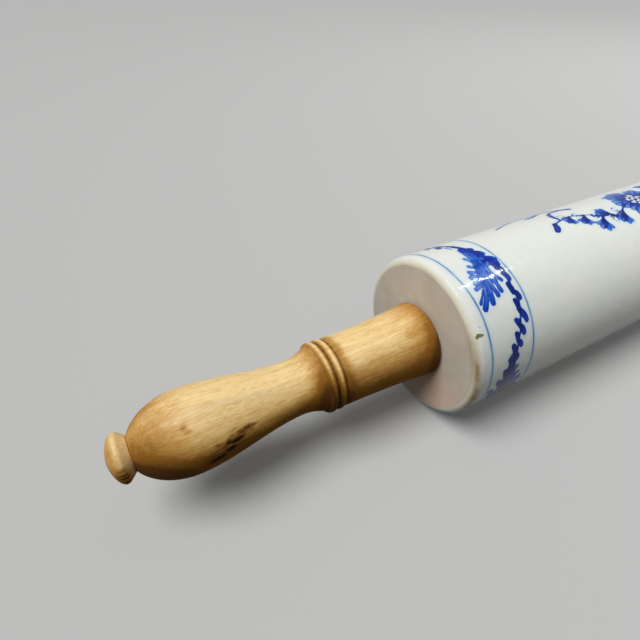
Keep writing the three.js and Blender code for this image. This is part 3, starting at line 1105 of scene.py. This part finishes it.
def make_button(side, direction, material):
    turned = Turned(button_outline(), BUTTON_COLUMNS)
    rim = hump(turned.outline_radius, BUTTON_RADIUS, RIM_BREADTH)
    chips = sum(depth * hump(turned.past(degrees), 0, spread) for degrees, spread, depth in CHIPS)
    uneven = OUT_OF_ROUND * np.cos(2 * turned.angle + 0.4) + RIM_RIPPLE * np.cos(5 * turned.angle)
    turned.radius += rim * (uneven - chips - RIM_WEAR)
    dome = np.clip((turned.along - PEG_LENGTH - BUTTON_BACK_LENGTH) / 2.0, 0, 1)
    below = hump(turned.past(-140), 0, 60)
    chipped = np.clip(chips * 2.5, 0, 1) * rim
    # Darker on the dome and the underside as painted shade over a little patina; the chips are real wear.
    # The joint behind the head is dirt, deepened on the underside into painted contact shadow
    attributes = {
        "patina_and_shade": 0.05 + 0.34 * dome + 0.7 * below + 1.3 * chipped,
        "dirt_and_shadow": (0.3 + 0.5 * below) * hump(turned.along, PEG_LENGTH, 0.4),
    }

    piece = turned.piece(f"turned_{side}_button", direction * PEG_TIP, direction, turned.steps, attributes)
    piece.data.materials.append(material)
    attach(piece, "rod")
    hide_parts(f"{side}_button")


def dress_rod(material):
    """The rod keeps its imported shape, and only gets its wood."""
    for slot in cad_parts["rod"].material_slots:
        slot.link = "OBJECT"
        slot.material = material


# Floor, lights and camera

CAMERA_FROM_END = (-89.85, -88.75, 107.3)
CAMERA_HEADING = 61.04
CAMERA_PITCH = -39.26
CAMERA_LENS = 24.75
FLOOR_SEEN = (0.50, 0.50, 0.495)
FLOOR_BOUNCE = (0.07, 0.07, 0.07)
SKY_LIGHT = 0.15
TOWARDS_SUN = (-0.43, 0.0, 0.90)
SUN_STRENGTH = 2.75
SUN_DEGREES = 36
# Panels that glint in the glaze, and wider ones that veil it: place, length and width in metres, watts
PANELS = (
    ("short_tube", (0.743, 0.02, 0.95), 0.10, 0.012, 1.5),
    ("long_tube", (0.70, 0.02, 0.96), 0.30, 0.012, 0.12),
    ("window_1", (0.72, 0.02, 1.00), 0.32, 0.20, 0.38),
    ("window_2", (0.72, 0.02, 1.02), 0.32, 0.72, 1.368),
)


def seen(tree):
    """1 where the camera looks, straight or by a reflection, and 0 for light that only bounces."""
    path = tree.nodes.new("ShaderNodeLightPath")
    return maths(tree, "MAXIMUM", path.outputs["Is Camera Ray"], path.outputs["Is Glossy Ray"])


def make_floor():
    """Floor that looks pale, and throws little of its light back up at the pin."""
    size = 12.0
    mesh = bpy.data.meshes.new("floor")
    corners = [(-size, -size, 0), (size, -size, 0), (size, size, 0), (-size, size, 0)]
    mesh.from_pydata(corners, [], [(0, 1, 2, 3)])
    floor = new_object("floor", mesh)
    material, tree, shader = material_tree("floor")
    colour = blend(tree, seen(tree), FLOOR_BOUNCE, FLOOR_SEEN)
    coat(tree, shader, colour, rough=0.9, glossy=0.1)
    mesh.materials.append(material)


def panel_light(name, place, length, width, watts):
    """Panel that hangs level, with its length along X, and shines down. It throws no shadow."""
    lamp = bpy.data.lights.new(name, "AREA")
    lamp.shape = "RECTANGLE"
    lamp.size, lamp.size_y = length, width
    lamp.energy = watts
    lamp.use_shadow = False
    new_object(name, lamp).location = place


def make_lights():
    """Soft light from above the photographed end, the panels, and an even sky."""
    for panel in PANELS:
        panel_light(*panel)
    sun = bpy.data.lights.new("softbox", "SUN")
    sun.energy = SUN_STRENGTH
    sun.angle = math.radians(SUN_DEGREES)
    turn = Vector(TOWARDS_SUN).to_track_quat("Z", "Y").to_euler()
    new_object("softbox", sun).rotation_euler = turn

    world = bpy.data.worlds.new("studio")
    world.use_nodes = True
    tree = world.node_tree
    sky = blend(tree, seen(tree), (SKY_LIGHT, SKY_LIGHT, SKY_LIGHT), FLOOR_SEEN)
    tree.links.new(sky, tree.nodes["Background"].inputs["Color"])
    bpy.context.scene.world = world


def make_camera():
    """Camera at the photographed angle: headed round from +X, tipped down, with no roll."""
    turn = Euler((math.radians(90 + CAMERA_PITCH), 0.0, math.radians(CAMERA_HEADING - 90)))
    place = Vector(CAMERA_FROM_END) + Vector((-BARREL_END, 0.0, AXIS_Z))
    lens = bpy.data.cameras.new("camera")
    lens.lens = CAMERA_LENS
    lens.clip_start = 0.005
    camera = new_object("camera", lens)
    camera.matrix_world = Matrix.LocRotScale(place * MM, turn, None)
    bpy.context.scene.camera = camera


make_camera()
make_floor()
make_lights()
make_barrel()
left_wood = wood_material("left_beech", UNMOVED)
right_wood = wood_material("right_beech", (0.9, 0.4, 0.2))
make_handle("left", -1, left_wood, LEFT_WORN_SIDE, LEFT_SCORCH, LEFT_DENTS)
make_handle("right", 1, right_wood, RIGHT_WORN_SIDE, RIGHT_SCORCH, RIGHT_DENTS)
button_wood = wood_material("button_beech", (0.3, 0.7, 0.1), figure=0.5)
make_button("left", -1, button_wood)
make_button("right", 1, button_wood)
dress_rod(wood_material("rod_beech", (0.5, 0.1, 0.6)))

bpy.context.scene.view_settings.view_transform = "Standard"
